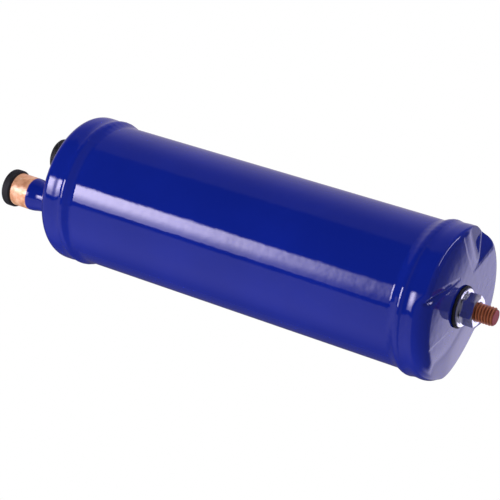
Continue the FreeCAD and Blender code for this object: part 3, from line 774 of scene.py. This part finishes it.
class AccumulatorSizes(bpy.types.PropertyGroup):
    thread_pitch: size("Thread pitch", "Distance between the stud's threads", 1.5875, 0.5, 3.0)
    thread_depth: size("Thread depth", "Depth of the stud's thread", 0.82, 0.2, 1.2)
    ripple: size("Weld ripple", "Height of the weld beads' ripples", 0.05, 0.0, 0.3)
    ripple_pitch: size("Ripple pitch", "Distance between the ripples", 4.2, 1.0, 8.0)
    dent_rounding: size("Dent folds", "Width of the rounding along the dents' folds", 0.7, 0.1, 5.0)
    dent_softness: size("Dent edge", "Width of the rounding round the dents' edges", 0.8, 0.05, 3.0)
    paint_edge: size("Paint edge", "Height of the paint's edge above the swage", 1.2, -6.0, 8.0)


class AccumulatorColours(bpy.types.PropertyGroup):
    paint: tint("Paint", "the enamel", (0.004, 0.012, 0.195))
    copper: tint("Copper", "the clean copper", (0.88, 0.45, 0.26))
    tarnish: tint("Tarnish", "the dull patches on the copper", (0.62, 0.24, 0.11))
    rubber: tint("Rubber", "the plugs and the sealing washer", (0.008, 0.008, 0.009))
    zinc: tint("Zinc", "the nut's and washer's plating", (0.82, 0.84, 0.88))
    stud: tint("Stud", "the stud's copper wash", (0.54, 0.17, 0.08))
    stud_end: tint("Stud end", "the stud's end face", (0.30, 0.02, 0.02))
    steel: tint("Steel", "the bare steel inside", (0.42, 0.42, 0.43))
    brass: tint("Brass", "the orifice", (0.75, 0.58, 0.28))


def material_once(name, maker):
    """A material by its name, made the first time that it is asked for."""
    return bpy.data.materials.get(name) or maker(bpy.context.scene.accumulator_colours)


def blue_enamel():
    """The enamel that most pieces share."""
    return material_once("blue enamel", enamel)


class ACCUMULATOR_OT_shell(bpy.types.Operator):
    """Make the painted shell between the caps"""
    bl_idname = "accumulator.shell"
    bl_label = "Painted shell"

    def execute(self, context):
        bottom, top = low("shell_tube").z, high("shell_tube").z
        bore = SHELL_RADIUS - SHELL_WALL
        outline = [(bore, bottom), (SHELL_RADIUS, bottom), (SHELL_RADIUS, top), (bore, top)]
        form = turned(outline, steps=192, longest=30)
        settle(form, "painted_shell", "vessel", "shell_tube", blue_enamel())
        return {"FINISHED"}


class ACCUMULATOR_OT_caps(bpy.types.Operator):
    """Make the pressed caps, the bottom one with its dents"""
    bl_idname = "accumulator.caps"
    bl_label = "Pressed caps"

    def execute(self, context):
        sizes = context.scene.accumulator_sizes
        bore = CAP_RADIUS - CAP_WALL
        outline = [
            (STUD_HOLE, 0.0), (CAP_RADIUS, 0.0), (CAP_RADIUS, CAP_HEIGHT),
            (bore, CAP_HEIGHT), (bore, CAP_WALL), (STUD_HOLE, CAP_WALL),
        ]
        corners = [(1, KNUCKLE, 14), (2, 0.3, 2), (4, KNUCKLE - CAP_WALL, 12)]
        form = turned(outline, corners, 360, 0.8)
        press_dents(form, sizes.dent_rounding, sizes.dent_softness)
        waist_cap(form, CAP_HEIGHT)
        settle(form, "pressed_bottom_cap", "vessel", "bottom_cap", blue_enamel())
        lip = TOP_FACE - CAP_HEIGHT
        outline = [
            (0.0, TOP_FACE), (CAP_RADIUS, TOP_FACE), (CAP_RADIUS, lip),
            (bore, lip), (bore, TOP_FACE - CAP_WALL), (0.0, TOP_FACE - CAP_WALL),
        ]
        form = turned(outline, corners, 192, 1.0, closed=False)
        waist_cap(form, lip)
        settle(form, "pressed_top_cap", "vessel", "top_cap", blue_enamel())
        return {"FINISHED"}


class ACCUMULATOR_OT_weld_beads(bpy.types.Operator):
    """Make the rippled weld beads at the caps' lips"""
    bl_idname = "accumulator.weld_beads"
    bl_label = "Weld beads"

    def execute(self, context):
        sizes = context.scene.accumulator_sizes
        start = CAP_HEIGHT - BEAD_OVERLAP
        outline = [(SHELL_RADIUS - 0.1, CAP_HEIGHT), (CAP_RADIUS - 0.5, start)]
        outline += [(CAP_RADIUS + proud, start + along) for along, proud in BEAD_PROFILE]
        for end in ("bottom", "top"):
            form = turned(outline, steps=480, longest=0.7)
            ripple_bead(form, CAP_HEIGHT, sizes.ripple, sizes.ripple_pitch)
            if end == "top":
                bmesh.ops.scale(form, vec=(1, 1, -1), verts=form.verts[:])
                bmesh.ops.translate(form, vec=(0, 0, TOP_FACE * MM), verts=form.verts[:])
            tidy(form)
            settle(form, end + "_ripple_bead", "vessel", end + "_weld_bead", blue_enamel(), 60)
        return {"FINISHED"}


class ACCUMULATOR_OT_sockets(bpy.types.Operator):
    """Make the inlet tube, the outlet U-tube and their braze fillets"""
    bl_idname = "accumulator.sockets"
    bl_label = "Copper sockets"

    def execute(self, context):
        for end, side, form in (("inlet", -1, self.mitred_tube()), ("outlet", 1, self.bent_tube())):
            centre = (side * STUB_OFFSET * MM, 0, 0)
            copper = painted_copper(context.scene.accumulator_colours, end + " copper", centre)
            node = "inlet_tube" if end == "inlet" else "outlet_u_tube"
            settle(form, "swaged_" + end, "vessel", node, copper)
        outline = [
            (TUBE_RADIUS, TOP_FACE),
            (TUBE_RADIUS + BRAZE_LEG, TOP_FACE),
            (TUBE_RADIUS + BRAZE_THROAT, TOP_FACE + BRAZE_THROAT),
            (TUBE_RADIUS, TOP_FACE + BRAZE_LEG),
        ]
        for end, side in (("inlet", -1), ("outlet", 1)):
            form = turned(outline, [(2, 0.7, 5)])
            shift(form, side * STUB_OFFSET)
            settle(form, end + "_braze", "vessel", end + "_braze_ring", blue_enamel(), 50)
        return {"FINISHED"}

    def mitred_tube(self):
        """The inlet, cut at 45 degrees at its lower end."""
        form = turned(socket_outline(TUBE_BOTTOM), SOCKET_CORNERS)
        cut_away(form, (TUBE_RADIUS, 0, TUBE_BOTTOM), Vector((-1, 0, -1)).normalized())
        bmesh.ops.bridge_loops(form, edges=open_edges(form))
        tidy(form)
        shift(form, -STUB_OFFSET)
        return form

    def bent_tube(self):
        """The outlet, carried down to its bend, round it and up to its mouth under the top cap."""
        form = turned(socket_outline(MOUTH), SOCKET_CORNERS)
        faces = extrude_faces(form, level_faces(form, MOUTH), (0, 0, BEND_HEIGHT - MOUTH))
        around = set(faces)
        for face in faces:
            around.update(face.edges)
            around.update(face.verts)
        spun = bmesh.ops.spin(
            form, geom=list(around), cent=(LEG_PITCH / 2 * MM, 0, BEND_HEIGHT * MM), axis=(0, 1, 0),
            angle=-math.pi, steps=32, use_merge=False,
        )
        bmesh.ops.delete(form, geom=[face for face in faces if face.is_valid], context="FACES_ONLY")
        extrude_faces(form, faces_of(spun["geom_last"]), (0, 0, MOUTH - BEND_HEIGHT))
        tidy(form)
        shift(form, STUB_OFFSET, turn=math.pi / 2 + LEG_ANGLE / 2)
        return form


class ACCUMULATOR_OT_plugs(bpy.types.Operator):
    """Make the rubber plugs that close the sockets"""
    bl_idname = "accumulator.plugs"
    bl_label = "Rubber plugs"

    def execute(self, context):
        shank = SOCKET_BORE - PLUG_FIT
        outline = [
            (0.0, PLUG_BOTTOM), (shank, PLUG_BOTTOM), (shank, TUBE_TOP), (PLUG_RADIUS, TUBE_TOP),
            (PLUG_RADIUS, PLUG_TOP), (0.0, PLUG_TOP),
        ]
        corners = [(1, 0.8, 3), (3, 1.1, 6), (4, 1.1, 6)]
        black = material_once("black rubber", rubber)
        for end, side in (("inlet", -1), ("outlet", 1)):
            form = turned(outline, corners, longest=1.5, closed=False)
            shift(form, side * STUB_OFFSET)
            settle(form, end + "_stopper", "vessel", end + "_plug", black)
        return {"FINISHED"}


class ACCUMULATOR_OT_stud(bpy.types.Operator):
    """Make the threaded stud with its head inside the vessel"""
    bl_idname = "accumulator.stud"
    bl_label = "Threaded stud"

    def execute(self, context):
        sizes = context.scene.accumulator_sizes
        neck = STUD_RADIUS - 0.01
        outline = [
            (0.0, NECK_BOTTOM), (neck, NECK_BOTTOM), (neck, CAP_WALL), (STUD_HEAD_RADIUS, CAP_WALL),
            (STUD_HEAD_RADIUS, STUD_HEAD_TOP), (0.0, STUD_HEAD_TOP),
        ]
        head = turned(outline, [(4, 0.3, 3)], 64, closed=False)
        form = join(threaded_rod(sizes.thread_depth, sizes.thread_pitch), head)
        copper = material_once("coppered steel", coppered_steel)
        settle(form, "threaded_stud", "vessel", "mounting_stud", copper)
        return {"FINISHED"}


class ACCUMULATOR_OT_washers(bpy.types.Operator):
    """Make the rubber washer and the zinc washer"""
    bl_idname = "accumulator.washers"
    bl_label = "Washers"

    def execute(self, context):
        outline = [
            (STUD_HOLE, RUBBER_FACE), (RUBBER_RADIUS, RUBBER_FACE), (RUBBER_RADIUS, 0.0), (STUD_HOLE, 0.0),
        ]
        form = turned(outline, [(1, 0.4, 4), (2, 0.4, 4)], 128)
        black = material_once("black rubber", rubber)
        settle(form, "sealing_washer", "washers", "rubber_washer", black)
        outline = [
            (WASHER_HOLE, WASHER_FACE), (WASHER_RADIUS, WASHER_FACE),
            (WASHER_RADIUS, RUBBER_FACE), (WASHER_HOLE, RUBBER_FACE),
        ]
        form = turned(outline, [(0, 0.15, 2), (1, 0.3, 4), (2, 0.1, 2)], 128)
        plate = material_once("zinc plate", zinc)
        settle(form, "plated_washer", "washers", "flat_washer", plate)
        return {"FINISHED"}


class ACCUMULATOR_OT_nut(bpy.types.Operator):
    """Make the hexagon nut"""
    bl_idname = "accumulator.nut"
    bl_label = "Hexagon nut"

    def execute(self, context):
        mouth, inset = NUT_BORE + NUT_MOUTH, NUT_CORNER - NUT_BEVEL_WIDTH
        outline = [
            (mouth, WASHER_FACE), (inset, WASHER_FACE),
            (NUT_CORNER, WASHER_FACE - NUT_BEVEL_HEIGHT), (NUT_CORNER, NUT_FACE + NUT_BEVEL_HEIGHT),
            (inset, NUT_FACE), (mouth, NUT_FACE),
            (NUT_BORE, NUT_FACE + NUT_MOUTH), (NUT_BORE, WASHER_FACE - NUT_MOUTH),
        ]
        form = turned(outline, [(1, 0.2, 2), (4, 0.2, 2)], 192)
        for side in range(6):
            angle = math.radians(30 + 60 * side)
            normal = Vector((math.cos(angle), math.sin(angle), 0))
            cut_away(form, normal * NUT_FLAT, normal)
            bmesh.ops.holes_fill(form, edges=open_edges(form), sides=0)
        tidy(form)
        plate = material_once("zinc plate", zinc)
        settle(form, "hexagon_nut", "nut", "mounting_nut", plate, 25)
        return {"FINISHED"}


class ACCUMULATOR_OT_inner_parts(bpy.types.Operator):
    """Give the pieces inside the vessel their metals"""
    bl_idname = "accumulator.inner_parts"
    bl_label = "Inner parts"

    def execute(self, context):
        steel = material_once("bare steel", bare_steel)
        finishes = dict.fromkeys(STEEL_NODES, steel)
        finishes["filter_screen"] = material_once("woven screen", screen_mesh)
        finishes["orifice_plug"] = material_once("turned brass", turned_brass)
        for node, material in finishes.items():
            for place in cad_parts[node].material_slots:
                place.material = material
        return {"FINISHED"}


class ACCUMULATOR_OT_stage(bpy.types.Operator):
    """Set the camera, the lamps, the floor and the white background"""
    bl_idname = "accumulator.stage"
    bl_label = "Stage"

    def execute(self, context):
        scene = context.scene
        scene.camera = self.add_camera()
        self.add_floor()
        self.add_world(scene)
        for lamp in LAMPS:
            self.add_lamp(*lamp)
        scene.view_settings.view_transform = "Standard"
        return {"FINISHED"}

    def add_camera(self):
        """A camera that sees the object from below its bottom head, lying aslant."""
        data = bpy.data.cameras.new("camera")
        data.sensor_fit = "HORIZONTAL"
        data.sensor_width = 36.0
        data.lens = VIEW_LENS
        data.clip_start = 0.01
        camera = new_object("camera", data)
        turn = Matrix((VIEW_RIGHT, VIEW_UP, VIEW_BACK)).transposed().to_4x4()
        camera.matrix_world = Matrix.Translation(VIEW_PLACE * MM) @ turn
        return camera

    def add_lamp(self, name, place, target, width, height, power):
        """An area lamp at a place, turned to its target, that no gloss shows."""
        data = bpy.data.lights.new(name, "AREA")
        data.shape = "RECTANGLE"
        data.size, data.size_y = width * MM, height * MM
        data.energy = power
        lamp = new_object(name, data)
        lamp.location = Vector(place) * MM
        lamp.rotation_euler = (Vector(target) - Vector(place)).to_track_quat("-Z", "Y").to_euler()
        lamp.visible_glossy = False

    def add_floor(self):
        """A wide pale floor, well below the hanging object and the camera, that no gloss shows."""
        form = bmesh.new()
        bmesh.ops.create_circle(form, cap_ends=True, segments=96, radius=FLOOR_RADIUS * MM)
        shift(form, z=FLOOR_HEIGHT)
        material, finish = new_material("pale floor")
        tone = finish.clouds(3.0, 2.0)
        colour = finish.blend(tone, (0.90, 0.90, 0.90), (0.94, 0.94, 0.94))
        surface = finish.add("BsdfPrincipled", "BSDF", None, {"Base Color": colour, "Roughness": 0.8})
        white = finish.add("Emission", "Emission", None, {"Color": (0.95, 0.95, 0.95), "Strength": 1.0})
        seen = finish.add("LightPath", "Is Camera Ray")
        pale = finish.add("MixShader", 0, None, {0: seen * 0.65, 1: surface, 2: white})
        clear = finish.add("BsdfTransparent", "BSDF")
        glossy = finish.add("LightPath", "Is Glossy Ray")
        finish.close("Material", finish.add("MixShader", 0, None, {0: glossy, 1: pale, 2: clear}))
        new_object("floor", new_mesh("floor", form, material))

    def add_world(self, scene):
        """White to the camera, the mirrored studio to the gloss, and plain light elsewhere."""
        world = bpy.data.worlds.new("studio")
        scene.world = world
        finish = Finish(world)
        seen = finish.add("LightPath", "Is Camera Ray")
        glossy = finish.add("LightPath", "Is Glossy Ray")
        through = finish.add("LightPath", "Is Transmission Ray")
        mirrored, hue = self.mirrored_studio(finish)
        plain = 1 - seen - glossy - through
        shown = glossy * mirrored.maths("MAXIMUM", WALL_LIGHT)
        strength = seen + through + shown + plain * PLAIN_LIGHT
        shade = finish.blend(mirrored.rise(0.0, WALL_LIGHT), WALL_COLOUR, hue)
        colour = finish.blend(glossy, WHITE, shade)
        shader = finish.add("Background", "Background", None, {"Color": colour, "Strength": strength})
        finish.close("World", shader)

    def mirrored_studio(self, finish):
        """Strength and hue of what the gloss shows, by the bearing and the height of a direction.

        It is a soft box, the far wall, the table and the backdrop, over dark walls.
        """
        direction = finish.add("TexCoord", "Generated")
        near = Vector((VIEW_BACK.x, VIEW_BACK.y, 0)).normalized()
        left = Vector((-near.y, near.x, 0))
        ahead, aside = (
            finish.add("VectorMath", "Value", {"operation": "DOT_PRODUCT"}, {0: direction, 1: tuple(axis)})
            for axis in (near, left))
        bearing = aside.maths("ARCTAN2", ahead) * math.degrees(1)
        height = finish.axis("Z", direction).maths("ARCSINE") * math.degrees(1)
        backwards = bearing * -1
        box = bearing.window(*BOX_SIDES) * height.window(*BOX_HEIGHTS)
        box = box * bearing.rise(*BOX_FADE).span(*BOX_LIGHT)
        wall = bearing.rise(63, 70) * 0.15 + bearing.rise(80, 130) * 0.33
        table = backwards.rise(34.5, 37) * backwards.rise(75, 125).span(0.52, 0.10)
        above = box + wall + table
        backdrop = bearing.maths("ABSOLUTE").rise(120, 165)
        folds = height.rise(-30, -20).span(0.12, 1.97) * height.rise(-19, -12).span(1.0, 0.54)
        folds = folds * (1 - bearing.rise(100, 160) * height.rise(-12, -3) * 0.6)
        strip = bearing.window(*STRIP_SIDES) * height.window(*STRIP_HEIGHTS) * STRIP_LIGHT
        below = backdrop * folds + (1 - backdrop) * 0.16 + strip
        top = height.rise(1, 9)
        return top * (above - below) + below, finish.blend(top, LOW_HUE, HIGH_HUE)


PIECE_OPERATORS = (
    ACCUMULATOR_OT_shell,
    ACCUMULATOR_OT_caps,
    ACCUMULATOR_OT_weld_beads,
    ACCUMULATOR_OT_sockets,
    ACCUMULATOR_OT_plugs,
    ACCUMULATOR_OT_stud,
    ACCUMULATOR_OT_washers,
    ACCUMULATOR_OT_nut,
    ACCUMULATOR_OT_inner_parts,
    ACCUMULATOR_OT_stage,
)


class ACCUMULATOR_PT_panel(bpy.types.Panel):
    """Sizes, colours and pieces of the accumulator"""
    bl_idname = "ACCUMULATOR_PT_panel"
    bl_label = "Suction accumulator"
    bl_space_type = "VIEW_3D"
    bl_region_type = "UI"
    bl_category = "Accumulator"

    def draw(self, context):
        for group in (context.scene.accumulator_sizes, context.scene.accumulator_colours):
            for name in group.bl_rna.properties.keys():
                if name not in ("rna_type", "name"):
                    self.layout.prop(group, name)
        for operator in PIECE_OPERATORS:
            self.layout.operator(operator.bl_idname)


CLASSES = (AccumulatorSizes, AccumulatorColours) + PIECE_OPERATORS + (ACCUMULATOR_PT_panel,)


def register():
    for item in CLASSES:
        bpy.utils.register_class(item)
    bpy.types.Scene.accumulator_sizes = bpy.props.PointerProperty(type=AccumulatorSizes)
    bpy.types.Scene.accumulator_colours = bpy.props.PointerProperty(type=AccumulatorColours)


def unregister():
    del bpy.types.Scene.accumulator_colours
    del bpy.types.Scene.accumulator_sizes
    for item in reversed(CLASSES):
        bpy.utils.unregister_class(item)


def main():
    register()
    bpy.ops.accumulator.shell()
    bpy.ops.accumulator.caps()
    bpy.ops.accumulator.weld_beads()
    bpy.ops.accumulator.sockets()
    bpy.ops.accumulator.plugs()
    bpy.ops.accumulator.stud()
    bpy.ops.accumulator.washers()
    bpy.ops.accumulator.nut()
    bpy.ops.accumulator.inner_parts()
    bpy.ops.accumulator.stage()


if __name__ == "__main__":
    main()
